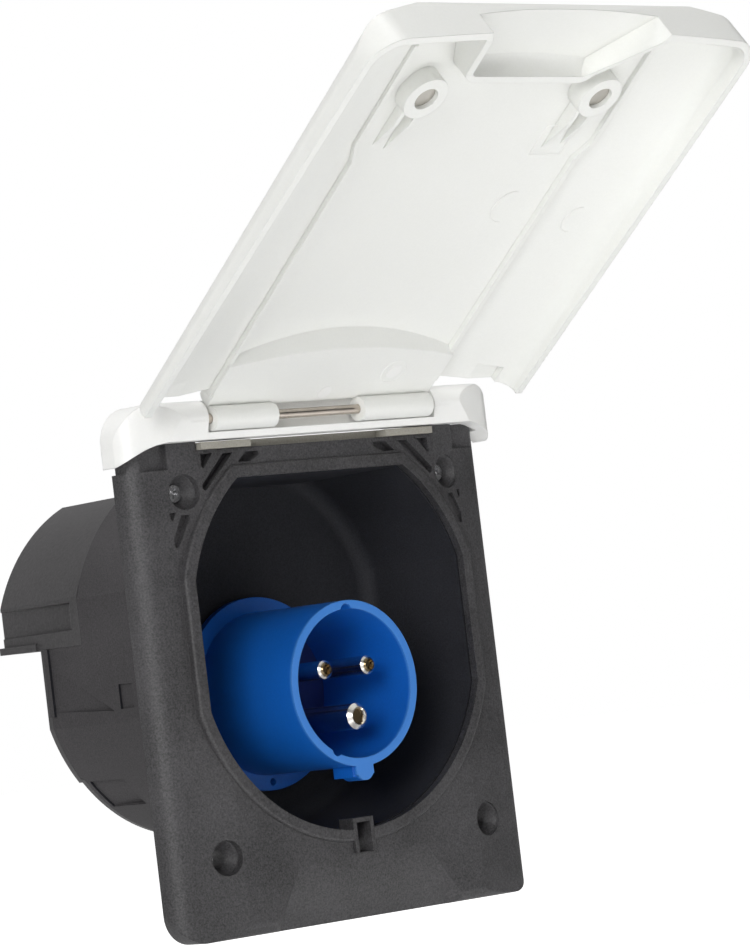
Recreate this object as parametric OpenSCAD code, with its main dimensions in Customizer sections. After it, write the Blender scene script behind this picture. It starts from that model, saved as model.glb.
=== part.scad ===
// Flush panel power inlet with a hinged lid: a dark housing set into a wall, a white hood and lid, a blue inlet shroud.
// Millimetres. The front faces -Y, +X is to the right, +Z is up.
// The origin is on the opening's axis in the mounting plane, which is the back edge of the front frame.
// Inside the modules y is counted from the frame's flat front face, so the mounting plane is at y = frame_depth.

/* [Front frame] */
// Half the width of the front frame
frame_half_w = 62.5; // [60:0.1:66]
// Height of the frame's lower edge
frame_bottom = -75.8; // [-80:0.1:-72]
// Depth from the flat front face to the mounting plane
frame_depth = 9.75; // [8:0.05:14]
// Wall of the frame's moulding
frame_wall = 2.8; // [2:0.1:4]
// Radius of the lower corners
frame_corner = 8; // [4:0.5:14]

/* [Opening and tub] */
// Radius of the opening's two arcs
open_r = 49.6; // [46:0.1:52]
// Height of each arc's centre above or below the axis
open_shift = 2.85; // [0:0.05:5]
// Half the distance between the opening's side flats
open_side = 47.5; // [44:0.1:49]
// Height of the opening's top flat
open_top = 42.9; // [40:0.1:46]
// Width of the raised lip round the opening
lip_w = 3.35; // [2:0.05:5]
// How far the lip stands proud
lip_h = 0.95; // [0.4:0.05:2]
// Draft of the tub's walls in degrees
tub_draft = 3.5; // [0:0.1:6]
// Depth of the tub's back wall
tub_floor = 36.5; // [30:0.5:45]
// Rear edge of the tub's lower skirt
skirt_end = 68; // [60:0.5:75]
// Rear face of the rear cap
cap_end = 87; // [80:0.5:95]

/* [Fixing holes] */
// Half the distance between the fixing holes across
hole_x = 46.5; // [44:0.1:50]
// Height of the upper fixing holes
hole_top = 40.2; // [38:0.1:44]
// Height of the lower fixing holes
hole_low = -54.8; // [-60:0.1:-50]
// Radius of the through hole
hole_r = 2.4; // [2:0.05:3]

/* [Inlet] */
// Height of the inlet's axis
inlet_z = -14; // [-18:0.5:-5]
// Outer radius of the shroud
shroud_r = 22; // [20:0.1:24]
// Wall of the shroud
shroud_wall = 2.2; // [1.6:0.1:3]
// Depth of the shroud's mouth, in front of the frame
mouth_y = -4.16; // [-6:0.02:0]
// Radius of the flange on the tub's back wall
flange_r = 26.2; // [24:0.1:30]
// Depth of the flange's front face
flange_y = 33.5; // [30:0.1:35]

/* [Hood and hinge] */
// Half the width of the hood
hood_half_w = 65.7; // [63:0.1:70]
// Height of the hood's top
hood_top = 63.5; // [60:0.1:68]
// Depth of the hinge axis
hinge_y = -3.49; // [-6:0.01:0]
// Height of the hinge axis
hinge_z = 58.41; // [55:0.01:62]
// Radius of the hinge pin
pin_r = 1.25; // [1:0.05:2]
// How far the lid stands open, in degrees from closed
lid_open = 127.87; // [0:0.01:132]

/* [Lid] */
// Half the width of the lid
lid_half_w = 66.7; // [64:0.1:70]
// Length from the hinge axis to the middle of the free end
lid_len = 139.8; // [130:0.1:145]
// Height of the crowned top over the hinge axis
lid_top = 9.5; // [7:0.1:12]
// Wall of the lid's shell
lid_wall = 2.2; // [1.6:0.1:3]

/* [Hidden] */
$fn = 96;
gap = 0.05;
// Rounding circles are this much larger than exact tangency, so that their edges cross cleanly
over = 1.001;
far = 200;

// Tub walls and the rear housing
seam = 0.15;
tub_wall = 2.15;
tub_front = 1.9;
tub_fillet = 4.5;
tub_back = tub_floor + 2.6;
top_draft = 1;
collar_y = 5.6;
collar_t = 2.5;
ear_x = 54.2;
ear_z = [14, -24];
cap_front = 50.4;
cap_low = 4.6;
plate_t = 2;
boss_r = 6.5;

// Frame front: a flat middle, sides that fall back, rounded edges
flat_x = 42;
fall = 9;
edge_r = 7;
step_z = 46.3;
step_in = 1.3;
mid_top = 50.7;
frame_top = 52.9;
seal_x = 41.5;

// Inlet contacts
barrel_r = 19.6;
carrier_y = 31;
terminal_y = 46;
terminal_end = 60;
side_pin = [7.58, 4.4];
earth_pin_z = -8.75;

// Hinge
knuckle_r = 3.3;
knuckles = [[-38.6, -17.4], [13, 38]];
cheek_x = 40;
pin_half = 46;

// Lid form
crown_r = 276;
lid_edge_r = 7;
end_r = 600;
end_corner = 10;
nose_r = 10;
edge_s = 6.6;
neck_s = 1.8;
neck_x = 39.2;
pad_x = 39.6;
pad_t = -2.4;
boss_x = 30.5;
boss_s = 110.5;
boss_t = -0.8;
magnet_r = 3.3;
scoop_half = 17.5;
scoop_s = 118;
scoop_corner = 4;
scoop_flare = 28;
scoop_t = -1.6;
scoop_tilt = 12.8;
scoop_rim = -0.5;
magnet_t = 3;

// Moves a piece built from the front face to the row's frame
module from_front() {
  translate([0, -frame_depth, 0])
    children();
}

// A round bar along Y from y0 to y1
module bar(x, z, r, y0, y1) {
  translate([x, y0, z])
    rotate([-90, 0, 0])
      cylinder(r = r, h = y1 - y0);
}

// A cone along Y from radius r0 at y0 to r1 at y1
module cone(x, z, r0, r1, y0, y1) {
  translate([x, y0, z])
    rotate([-90, 0, 0])
      cylinder(r1 = r0, r2 = r1, h = y1 - y0);
}

// A box between two corners
module box(a, b) {
  translate(a)
    cube(b - a);
}

// A flat shape in x and z, drawn through from y0 to y1
module through(y0, y1) {
  translate([0, y1, 0])
    rotate([90, 0, 0])
      linear_extrude(y1 - y0)
        children();
}

// A region bounded by straight sides, a bowed end and rounded corners, open towards low
module bowed(half, bow, apex, corner, low) {
  cx = half - corner;
  by = apex - bow;
  cy = by + sqrt(pow(bow - corner, 2) - cx * cx);
  k = bow / (bow - corner);
  tx = cx * k;
  ty = by + (cy - by) * k;
  intersection() {
    translate([0, by])
      circle(r = bow);
    polygon([[-half, low], [-half, cy], [-cx, cy], [-tx, ty], [-tx, apex + 1],
             [tx, apex + 1], [tx, ty], [cx, cy], [half, cy], [half, low]]);
  }
  for (side = [-1, 1])
    translate([side * cx, cy])
      circle(r = corner * over);
}

// Sweeps a wall section round the opening: children are regions of (offset outward, y), the second for the top
module opening_sweep() {
  intersection() {
    for (side = [-1, 1])
      translate([0, 0, side * open_shift])
        rotate([-90, 0, 0])
          rotate_extrude()
            intersection() {
              translate([open_r, 0])
                children(0);
              translate([0, -far / 2])
                square([far, far]);
            }
    translate([0, 0, -far / 2])
      linear_extrude(far)
        for (side = [0, 1])
          mirror([side, 0])
            translate([open_side, 0])
              children(0);
    translate([far / 2, 0, 0])
      rotate([0, -90, 0])
        linear_extrude(far)
          union() {
            translate([open_top, 0])
              children($children - 1);
            translate([-far, -far / 2])
              square([far + 1, far]);
          }
  }
}

// A straight band of the sweep's section, from y0 to y1 and out to the offset
module band(out, y0, y1) {
  translate([-58, y0])
    square([58 + out, y1 - y0]);
}

// A drafted section from y0 to y1, out to the offset at y = 0
module drafted(out, draft, y0, y1) {
  k = tan(draft);
  polygon([[-58, y0], [out - y0 * k, y0], [out - y1 * k, y1], [-58, y1]]);
}

// The same with a fillet at its far end
module filleted(out, draft, y0, y1, r) {
  k = tan(draft);
  cy = y1 - r;
  cx = out - cy * k - r / cos(draft);
  polygon([[-58, y0], [out - y0 * k, y0], [cx + r * cos(draft), cy + r * sin(draft)], [cx, cy], [cx, y1], [-58, y1]]);
  translate([cx, cy])
    circle(r = r);
}

// ---- Front frame

// Section of the frame's front in x and y
module frame_section(grow) {
  cx = frame_half_w - edge_r;
  cy = (cx - flat_x) * tan(fall) + edge_r / cos(fall);
  tx = cx + edge_r * sin(fall);
  ty = cy - edge_r * cos(fall);
  hw = frame_half_w + grow;
  polygon([[-flat_x, -grow], [flat_x, -grow], [tx, ty - grow], [cx, cy], [hw, cy], [hw, 30], [-hw, 30], [-hw, cy],
           [-cx, cy], [-tx, ty - grow]]);
  for (side = [-1, 1])
    translate([side * cx, cy])
      circle(r = edge_r + grow);
}

// Outline of the frame in x and z
module frame_outline(inset, top) {
  hw = frame_half_w - inset;
  r = frame_corner - inset;
  low = frame_bottom + inset;
  translate([-hw, low + r])
    square([2 * hw, top - low - r]);
  translate([r - hw, low])
    square([2 * (hw - r), r + 1]);
  for (side = [-1, 1])
    translate([side * (hw - r), low + r])
      circle(r = r);
}

// The rounded lower front edge, a section in y and z
module lower_edge() {
  r = 3;
  rotate([0, -90, 0])
    translate([0, 0, -far / 2])
      linear_extrude(far)
        union() {
          translate([frame_bottom + r, -2])
            square([far, far]);
          translate([frame_bottom, r])
            square([r + 1, far]);
          translate([frame_bottom + r, r])
            circle(r = r);
        }
}

// A half space whose edge runs down one side of the finger recess
module recess_side() {
  translate([22.5, 0, -59.5])
    rotate([0, -36.4, 0])
      rotate([0, 0, 50])
        translate([-far, -far / 2, -far / 2])
          cube(far);
}

// The finger recess in the middle of the lower edge, falling away on a large radius
module finger_recess() {
  r = 46;
  intersection() {
    difference() {
      box([-60, -9, -82], [60, 6, -58]);
      translate([-70, r - 0.01, -58])
        rotate([0, 90, 0])
          cylinder(r = r, h = 140);
    }
    recess_side();
    mirror([1, 0, 0])
      recess_side();
  }
}

// Solid outside form of the frame
module frame_form() {
  difference() {
    intersection() {
      translate([0, 0, -far / 2])
        linear_extrude(far)
          frame_section(0);
      through(-2, frame_depth)
        frame_outline(0, frame_top);
      lower_edge();
    }
    finger_recess();
    box([-seal_x, -5, mid_top], [seal_x, 20, 60]);
    for (side = [0, 1])
      mirror([side, 0, 0]) {
        box([frame_half_w - step_in, -5, step_z], [80, 20, 60]);
        box([frame_half_w - 12, -5, step_z], [80, 3, 60]);
      }
  }
}

// The weight-saving slots in one upper corner
module corner_slots() {
  through(-3, 6) {
    polygon([[36.2, 49.7], [40.2, 49.7], [40.3, 46.3], [39.6, 45.9]]);
    polygon([[29.2, 49.5], [32.6, 49.5], [40.8, 41.6], [40.5, 40.3], [39.6, 40.1]]);
    polygon([[20.4, 49.5], [24.8, 49.5], [27.8, 47], [24, 46.8], [20.3, 48.5]]);
    polygon([[49.7, 35.1], [51.5, 35.1], [51.4, 33.5], [50.7, 33]]);
    polygon([[45.8, 34.2], [48.1, 34.3], [51, 28.5], [50.9, 26.1], [49.9, 26.1], [45.8, 33.2]]);
  }
}

// A stepped and countersunk fixing hole
module fixing_hole(z, end) {
  cone(hole_x, z, 4.74, 4.5, -1, 2);
  cone(hole_x, z, 4.3, hole_r, 2 - gap, 5.2);
  bar(hole_x, z, hole_r, 5, end);
}

// The raised lip's section: rounded over both edges
module lip_section(out) {
  r = 0.9;
  translate([-58, r - lip_h])
    square([58 + out, 4]);
  translate([-58, -lip_h])
    square([58 + out - r, r + 1]);
  translate([out - r, r - lip_h])
    circle(r = r);
}

module front_frame() {
  color([0.27, 0.265, 0.27])
    from_front()
      difference() {
        union() {
          difference() {
            frame_form();
            // Hollow back
            difference() {
              intersection() {
                translate([0, frame_wall, -far / 2])
                  linear_extrude(far)
                    frame_section(0);
                through(-2, frame_depth + 1)
                  frame_outline(frame_wall, mid_top - frame_wall);
              }
              box([-38, 0, -80], [38, 5.8, -57.5]);
              opening_sweep()
                band(4.2, 0, 5.5);
              for (side = [-1, 1]) {
                bar(side * hole_x, hole_top, boss_r, 0, 7);
                bar(side * hole_x, hole_low, boss_r, 0, frame_depth + 2);
                bar(side * boss_x, hinge_z - boss_s, boss_r, 0, 5.5);
                for (z = ear_z)
                  bar(side * ear_x, z, 3.4, 0, collar_y - gap);
              }
            }
          }
          // Raised lip
          opening_sweep() {
            lip_section(lip_w);
          }
        }
        // The opening, rounded at its front edge
        opening_sweep()
          band(0, -5, 20);
        opening_sweep()
          band(seam + 0.45, 1.5, 20);
        opening_sweep()
          band(tub_wall + gap, tub_front - gap, 20);
        for (side = [0, 1])
          mirror([side, 0, 0]) {
            fixing_hole(hole_top, 6.2);
            bar(hole_x, hole_top, 1.65, 6, 12);
            fixing_hole(hole_low, 12);
            corner_slots();
            bar(boss_x, hinge_z - boss_s, 5.1, frame_wall, 12);
            for (z = ear_z)
              bar(ear_x, z, 1.2, frame_wall, 12);
            // Room for the hood's lug
            box([39, 7.05, 33], [54, 12, 60]);
          }
        box([-3.6, -5, -58.5], [3.6, 20, -49.3]);
      }
}

// The catch slot's insert, an upturned U
module catch_insert() {
  color([0.25, 0.245, 0.25])
    from_front()
      difference() {
        box([-3.55, -lip_h, -58.45], [3.55, 4.8, -49.35]);
        box([-2.4, -5, -59], [2.4, 9, -50.6]);
        box([-2.4, 3.6, -59], [2.4, 9, -48]);
      }
}

// ---- Tub and rear housing

// Outside of the tub and its skirt
module tub_form(y0, y1) {
  opening_sweep() {
    drafted(tub_wall - seam, tub_draft, y0, y1);
    drafted(tub_wall - seam, top_draft, y0, y1);
  }
}

// One shallow recess on a side flat, a triangle in y and z
module flat_marks() {
  k = tan(tub_draft);
  for (side = [0, 1])
    mirror([side, 0, 0]) {
      translate([open_side + 2 - 0.9 - 52 * k, 0, 0])
        rotate([0, -90, 0])
          mirror([0, 0, 1])
            linear_extrude(9)
              polygon([[-0.4, 66], [-13.7, 39], [-12.5, 66]]);
      box([open_side + 2 - 0.9 - 33 * k, 30, -13.5], [60, 36, -7]);
      difference() {
        box([30, 49, -39.5], [60, 65, -32]);
        bar(0, -open_shift, 47, 40, 70);
      }
    }
}

module tub() {
  color([0.22, 0.215, 0.22])
    from_front()
      difference() {
        union() {
          difference() {
            tub_form(tub_front, skirt_end);
            box([-80, cap_front, cap_low], [80, 90, 80]);
            box([-80, skirt_end - 1.5, -80], [80, 90, -31]);
            flat_marks();
          }
          opening_sweep()
            band(3.2, collar_y, collar_y + collar_t);
          for (side = [0, 1])
            mirror([side, 0, 0])
              for (z = ear_z)
                box([open_side, collar_y, z - 4.5], [58, collar_y + collar_t, z + 4.5]);
          // Beads up the skirt's rear edge
          for (side = [0, 1])
            mirror([side, 0, 0])
              box([44.4, skirt_end - 2, -13.6], [46.2, skirt_end - 0.1, cap_low - 0.1]);
        }
        // Room for the frame's upper bosses and the hood's lugs
        for (side = [0, 1])
          mirror([side, 0, 0]) {
            bar(hole_x, hole_top, boss_r + 0.5, 0, 12);
            box([42.2, 5, 33.5], [60, 12, 60]);
          }
        opening_sweep() {
          filleted(-seam, tub_draft, -5, tub_floor, tub_fillet);
          drafted(-seam, top_draft, -5, tub_floor);
        }
        // Wiring space behind the tub
        opening_sweep() {
          drafted(-seam - gap, tub_draft, tub_back, 99);
          drafted(-seam - gap, top_draft, tub_back, 99);
        }
        bar(0, inlet_z, shroud_r - 1.9, 30, 50);
        for (side = [0, 1])
          mirror([side, 0, 0])
            for (z = ear_z)
              bar(ear_x, z, 1.7, 0, 12);
        box([-3.65, -5, -60], [3.65, 4.9, -49.25]);
      }
}

// Outside of the rear cap: a drafted circle with side and top flats
module cap_form(inset, y0, y1) {
  k = tan(tub_draft);
  intersection() {
    cone(0, 0, 49.7 - inset - (y0 - 50) * k, 49.7 - inset - (y1 - 50) * k, y0, y1);
    translate([0, 0, -far / 2])
      linear_extrude(far)
        polygon([[-46.5 + inset + (y0 - 50) * k, y0], [46.5 - inset - (y0 - 50) * k, y0],
                 [46.5 - inset - (y1 - 50) * k, y1], [-46.5 + inset + (y1 - 50) * k, y1]]);
    box([-80, 0, -80], [80, 200, 43.6 - inset]);
  }
}

module rear_cap() {
  color([0.2, 0.195, 0.2])
    from_front()
      difference() {
        union() {
          difference() {
            cap_form(0, cap_front + gap, cap_end);
            box([-80, 0, -80], [80, 200, cap_low + gap]);
            for (side = [0, 1])
              mirror([side, 0, 0])
                box([43.9, 54, 9], [60, 99, 16.3]);
          }
          // Beads on the lower edge
          for (side = [0, 1])
            mirror([side, 0, 0])
              box([42.2, 71, cap_low + gap], [45.9, cap_end + 0.1, cap_low + 2]);
          box([-45.9, cap_end - 1.5, cap_low + gap], [45.9, cap_end + 0.1, cap_low + 2]);
          // Screw posts
          for (side = [-1, 1])
            bar(side * 30, 26, 4, cap_front + gap, cap_end - 1);
        }
        difference() {
          cap_form(2.2, 40, cap_end - 2.2);
          for (side = [-1, 1])
            bar(side * 30, 26, 4, 40, 99);
        }
        for (side = [-1, 1]) {
          bar(side * 30, 26, 1.7, 40, 99);
          bar(side * 30, 26, 3.2, cap_end - 3.5, 99);
        }
      }
}

// The plate that closes the skirt below the cap
module back_plate() {
  color([0.2, 0.195, 0.2])
    from_front()
      difference() {
        union() {
          intersection() {
            tub_form(skirt_end - 5, skirt_end + plate_t);
            union() {
              box([-80, skirt_end + gap, -32], [80, skirt_end + plate_t, cap_low - 0.1]);
              box([-80, skirt_end - 1.45, -80], [80, skirt_end + 0.5, -31.1]);
            }
          }
          // Locating rim inside the skirt
          intersection() {
            opening_sweep()
              drafted(-seam - 0.25, tub_draft, skirt_end - 6, skirt_end + 1);
            difference() {
              box([-80, skirt_end - 5, -80], [80, skirt_end + 1, 2]);
              box([-42, 0, -46], [42, 200, 20]);
            }
          }
        }
        for (side = [-1, 1])
          bar(side * 36, -24, 1.7, 40, 99);
      }
}

// ---- Hood

// Outline of the hood in x and z
module hood_outline() {
  r = 9.5;
  sag = 20.8;
  difference() {
    union() {
      translate([-hood_half_w, 40])
        square([2 * hood_half_w, hood_top - r - 40]);
      translate([r - hood_half_w, 45])
        square([2 * (hood_half_w - r), hood_top - 45]);
      for (side = [-1, 1])
        translate([side * (hood_half_w - r), hood_top - r])
          circle(r = r * over);
    }
    translate([-52, 30])
      square([104, 23]);
    for (side = [-1, 1])
      translate([side * 52, 53 - sag])
        circle(r = sag);
    translate([-80, 0])
      square([160, 46]);
  }
}

// Side section of the hood in y and z, its front leaning out towards the rounded top
module hood_side() {
  r = 4.5;
  lean = 14;
  cy = r - 4.9;
  cz = hood_top - r;
  ty = cy - r * cos(lean);
  tz = cz - r * sin(lean);
  polygon([[9, 44], [ty + (tz - 44) * tan(lean), 44], [ty, tz], [cy, cz], [cy, hood_top], [9, hood_top]]);
  translate([cy, cz])
    circle(r = r * over);
}

// Plan of the hood's front in x and y
module hood_plan() {
  r = 8;
  hw = hood_half_w + 0.3;
  cx = hw - r;
  cy = 6.2;
  a = 14;
  tx = cx + r * sin(a);
  ty = cy - r * cos(a);
  polygon([[-49, -5.02], [49, -5.02], [tx, ty], [cx, cy], [hw, cy], [hw, 20], [-hw, 20], [-hw, cy], [-cx, cy],
           [-tx, ty]]);
  for (side = [-1, 1])
    translate([side * cx, cy])
      circle(r = r * over);
}

module hood() {
  color([0.93, 0.93, 0.915])
    from_front()
      difference() {
        union() {
          difference() {
            intersection() {
              through(-8, 9)
                hood_outline();
              translate([-80, 0, 0])
                rotate([90, 0, 90])
                  linear_extrude(160)
                    hood_side();
              translate([0, 0, 30])
                linear_extrude(60)
                  hood_plan();
            }
            // Hollow from behind
            box([-61.4, 2.8, 44], [61.4, 12, 59.6]);
            for (side = [0, 1])
              mirror([side, 0, 0])
                box([47.5, -1.2, 53.2], [57, 12, 59.6]);
            // Seat on the frame's top corners
            intersection() {
              translate([0, 0, 40])
                linear_extrude(frame_top + gap - 40)
                  frame_section(gap);
              box([-80, -20, 40], [80, 20, 60]);
            }
          }
          // Lugs behind the frame's upper corners
          for (side = [0, 1])
            mirror([side, 0, 0]) {
              box([42.3, 7.1, 35], [53, 9.7, 60]);
              box([cheek_x, 2.8, frame_top + gap], [47.5, 9, 61]);
            }
        }
        // Space for the knuckles
        box([-cheek_x, -9, 54.9], [cheek_x, 0.3, 70]);
        translate([-pin_half - gap, hinge_y, hinge_z])
          rotate([0, 90, 0])
            cylinder(r = pin_r + 0.01, h = 2 * pin_half + 2 * gap);
        for (side = [-1, 1])
          bar(side * hole_x, hole_top, 1.65, 5, 12);
        box([-seal_x, -9, 40], [seal_x, 20, mid_top + 2.1]);
      }
}

module hood_seal() {
  color([0.72, 0.7, 0.64])
    from_front()
      union() {
        box([-41, 2.4, mid_top + gap], [41, 6, mid_top + 2.05]);
        for (side = [0, 1])
          mirror([side, 0, 0])
            box([24, -1.6, mid_top + gap], [41, 2.4 + gap, mid_top + 1.9]);
      }
}

module hinge_pin() {
  color([0.75, 0.75, 0.77])
    from_front()
      translate([-pin_half, hinge_y, hinge_z])
        rotate([0, 90, 0])
          cylinder(r = pin_r, h = 2 * pin_half);
}

// ---- Screws

// A pan-head screw facing -Y, from the front of its head at y0
module pan_front(x, z, head_r, shank_r, y0, length) {
  difference() {
    union() {
      bar(x, z, head_r, y0, y0 + 1.25);
      bar(x, z, shank_r, y0 + 1, y0 + length);
    }
    for (turn = [20, 110])
      translate([x, y0, z])
        rotate([0, turn, 0])
          box([-head_r * 0.62, -1, -0.35], [head_r * 0.62, 0.8, 0.35]);
  }
}

// A pan-head screw facing +Y; its head's seat is at y0 and the tip points to -Y
module pan_back(x, z, head_r, shank_r, y0, length) {
  difference() {
    union() {
      bar(x, z, head_r, y0, y0 + 1.6);
      bar(x, z, shank_r, y0 - length, y0 + 0.5);
    }
    for (turn = [0, 90])
      translate([x, y0, z])
        rotate([0, turn, 0])
          box([-head_r * 0.6, 0.6, -0.35], [head_r * 0.6, 3, 0.35]);
  }
}

module hood_screw_left() {
  color([0.78, 0.78, 0.8])
    from_front()
      pan_front(-hole_x, hole_top, 2.25, 1.6, 4.9, 4.7);
}

module hood_screw_right() {
  color([0.78, 0.78, 0.8])
    from_front()
      pan_front(hole_x, hole_top, 2.25, 1.6, 4.9, 4.7);
}

module tub_screws() {
  color([0.6, 0.6, 0.62])
    from_front()
      for (side = [-1, 1])
        for (z = ear_z)
          pan_back(side * ear_x, z, 2.8, 1.15, collar_y + collar_t + gap / 2, 5);
}

module cap_screws() {
  color([0.6, 0.6, 0.62])
    from_front()
      for (side = [-1, 1])
        pan_back(side * 30, 26, 3, 1.5, cap_end - 3.45, 34);
}

module plate_screws() {
  color([0.6, 0.6, 0.62])
    from_front()
      for (side = [-1, 1])
        pan_back(side * 36, -24, 2.8, 1.5, skirt_end + plate_t + gap / 2, 12);
}

// A steel disc behind the frame that the lid's magnet holds to
module keeper(side) {
  color([0.6, 0.6, 0.62])
    from_front()
      bar(side * boss_x, hinge_z - boss_s, 5, frame_wall + gap, frame_wall + 2.6);
}

module keeper_left() {
  keeper(-1);
}

module keeper_right() {
  keeper(1);
}

// ---- Inlet

module inlet_shroud() {
  color([0, 0.35, 0.79])
    from_front()
      difference() {
        union() {
          bar(0, inlet_z, shroud_r, mouth_y, flange_y + 1);
          bar(0, inlet_z, flange_r, flange_y, flange_y + 2.2);
          bar(0, inlet_z, shroud_r - 2, flange_y, 62);
          // Key nib at the mouth and the lug behind it
          box([-3, mouth_y, inlet_z - 24.2], [3, 2.4, inlet_z - 20.5]);
          bar(0, inlet_z - 22.75, 3, mouth_y, 2.4);
          box([-3.4, mouth_y + 1.2, inlet_z - 24.7], [3.4, 4.8, inlet_z - 20.5]);
        }
        bar(0, inlet_z, shroud_r - shroud_wall, -9, 99);
        // Notches in the inner edge of the mouth
        bar(0, inlet_z + 18.9, 2.2, -9, 4);
        translate([0, 0, inlet_z])
          rotate([0, -152.5, 0])
            bar(0, 18.9, 1.8, -9, 4);
        bar(0, inlet_z - 23.9, 1, 30, 40);
      }
}

module inlet_gasket() {
  color([0.1, 0.1, 0.1])
    from_front()
      difference() {
        bar(0, inlet_z, flange_r - 1, flange_y + 2.2 + gap / 5, tub_floor - gap / 5);
        bar(0, inlet_z, shroud_r - 1.9, 30, 50);
        bar(0, inlet_z - 23.9, 1.2, 30, 40);
      }
}

module lock_nut() {
  color([0, 0.3, 0.68])
    from_front()
      difference() {
        bar(0, inlet_z, 25.5, tub_back + gap / 2, tub_back + 6);
        bar(0, inlet_z, shroud_r - 1.95, 30, 60);
        for (turn = [0:45:359])
          translate([0, 0, inlet_z])
            rotate([0, turn, 0])
              box([24.2, 30, -2], [30, 60, 2]);
      }
}

// Places children on one contact's axis
module at_contact(n) {
  translate([n == 0 ? -side_pin[0] : n == 1 ? side_pin[0] : 0, 0, inlet_z + (n == 2 ? earth_pin_z : side_pin[1])])
    children();
}

// Direction of a contact's clamp screw, turned about Y from +X
function screw_turn(n) = n == 0 ? -150 : n == 1 ? -30 : 90;

module contact_carrier() {
  color([0.05, 0.2, 0.5])
    from_front()
      difference() {
        bar(0, inlet_z, shroud_r - shroud_wall - gap, carrier_y, terminal_end + 1);
        for (n = [0:2])
          at_contact(n) {
            bar(0, 0, (n == 2 ? 3.1 : 2.1) + gap, 20, 99);
            bar(0, 0, 4.6 + gap, terminal_y - gap, 99);
            rotate([0, screw_turn(n), 0])
              translate([0, terminal_y + 9, 0])
                rotate([0, 90, 0])
                  cylinder(r = 2.4, h = 30);
          }
      }
}

// One turned contact: a pin with a chamfered nose and a wire barrel behind
module contact(n) {
  r = n == 2 ? 3.5 : 2.5;
  tip = n == 2 ? -4.3 : -2.4;
  from_front()
    at_contact(n)
      difference() {
        union() {
          cone(0, 0, r - 1, r, tip, tip + 1);
          bar(0, 0, r, tip + 1 - gap / 10, carrier_y - gap);
          bar(0, 0, r - 0.4, carrier_y - 1, terminal_y + 1);
          bar(0, 0, 4.6, terminal_y, terminal_end);
        }
        cone(0, 0, r - 1.2, r - 1.7, tip - gap, tip + 0.9);
        bar(0, 0, 2.3, terminal_y + 4, 99);
        rotate([0, screw_turn(n), 0])
          translate([0, terminal_y + 9, 0])
            rotate([0, 90, 0])
              cylinder(r = 1.75, h = 9);
      }
}

module pin_line() {
  color([0.8, 0.8, 0.78])
    contact(0);
}

module pin_neutral() {
  color([0.8, 0.8, 0.78])
    contact(1);
}

module pin_earth() {
  color([0.8, 0.8, 0.78])
    contact(2);
}

// A slotted clamp screw in a contact's barrel
module clamp_screw(n) {
  color([0.7, 0.7, 0.72])
    from_front()
      at_contact(n)
        rotate([0, screw_turn(n), 0])
          translate([1, terminal_y + 9, 0])
            rotate([0, 90, 0])
              difference() {
                cylinder(r = 1.7, h = 5);
                translate([-2, -0.3, 4])
                  cube([4, 0.6, 2]);
              }
}

module terminal_screw_line() {
  clamp_screw(0);
}

module terminal_screw_neutral() {
  clamp_screw(1);
}

module terminal_screw_earth() {
  clamp_screw(2);
}

// ---- Lid, built closed about the hinge axis: x, y towards the frame, s = -z away from the hinge

// Turns the closed lid to where it stands
module lid_stand() {
  from_front()
    translate([0, hinge_y, hinge_z])
      rotate([-lid_open, 0, 0])
        children();
}

// A plan in x and s, drawn through from t0 to t1
module lid_plan(t0, t1) {
  translate([0, t1, 0])
    rotate([90, 0, 0])
      linear_extrude(t1 - t0)
        mirror([0, 1])
          children();
}

// A section in x and t, drawn along the lid from s0 to s1
module lid_along(s0, s1) {
  translate([0, 0, -s1])
    linear_extrude(s1 - s0)
      children();
}

// A section in s and t, drawn across the lid from -x1 to x1
module lid_across(x1) {
  translate([-x1, 0, 0])
    rotate([0, 90, 0])
      linear_extrude(2 * x1)
        children();
}

// Side section of the lid: rounded nose at the free end, rounded neck, tilted rim
module lid_side(inset, rim) {
  top = inset - lid_top;
  nose = nose_r - inset;
  neck = 6 - inset;
  end = lid_len - inset;
  start = neck_s + inset;
  intersection() {
    union() {
      polygon([[start, top + neck], [start + neck, top + neck], [start + neck, top], [end - nose, top],
               [end - nose, top + nose], [end, top + nose], [end, 70], [start, 70]]);
      translate([end - nose, top + nose])
        circle(r = nose * over);
      translate([start + neck, top + neck])
        circle(r = neck * over);
    }
    polygon([[-5, -30], [150, -30], [150, rim + 3], [-5, rim]]);
  }
}

// Outside of the lid's shell, or its inside when inset
module lid_form(inset, rim) {
  intersection() {
    lid_along(-5, 150)
      mirror([0, 1])
        bowed(lid_half_w + 0.3 - inset, crown_r - inset, lid_top - inset, lid_edge_r - inset, -40);
    lid_plan(-30, 50)
      bowed(lid_half_w - inset, end_r - inset, lid_len - inset, end_corner - inset, -10);
    lid_across(80)
      lid_side(inset, rim);
  }
}

// Plan of the finger scoop in x and s, widening towards the free end
module scoop_plan(grow) {
  r = scoop_corner + grow;
  cs = scoop_s + scoop_corner;
  tx = scoop_half + r * cos(scoop_flare);
  ts = cs - r * sin(scoop_flare);
  wide = tx + (165 - ts) * tan(scoop_flare);
  polygon([[-scoop_half, cs - r], [scoop_half, cs - r], [scoop_half, cs], [tx, ts], [wide, 165], [-wide, 165],
           [-tx, ts], [-scoop_half, cs]]);
  for (side = [-1, 1])
    translate([side * scoop_half, cs])
      circle(r = r * over);
}

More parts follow.
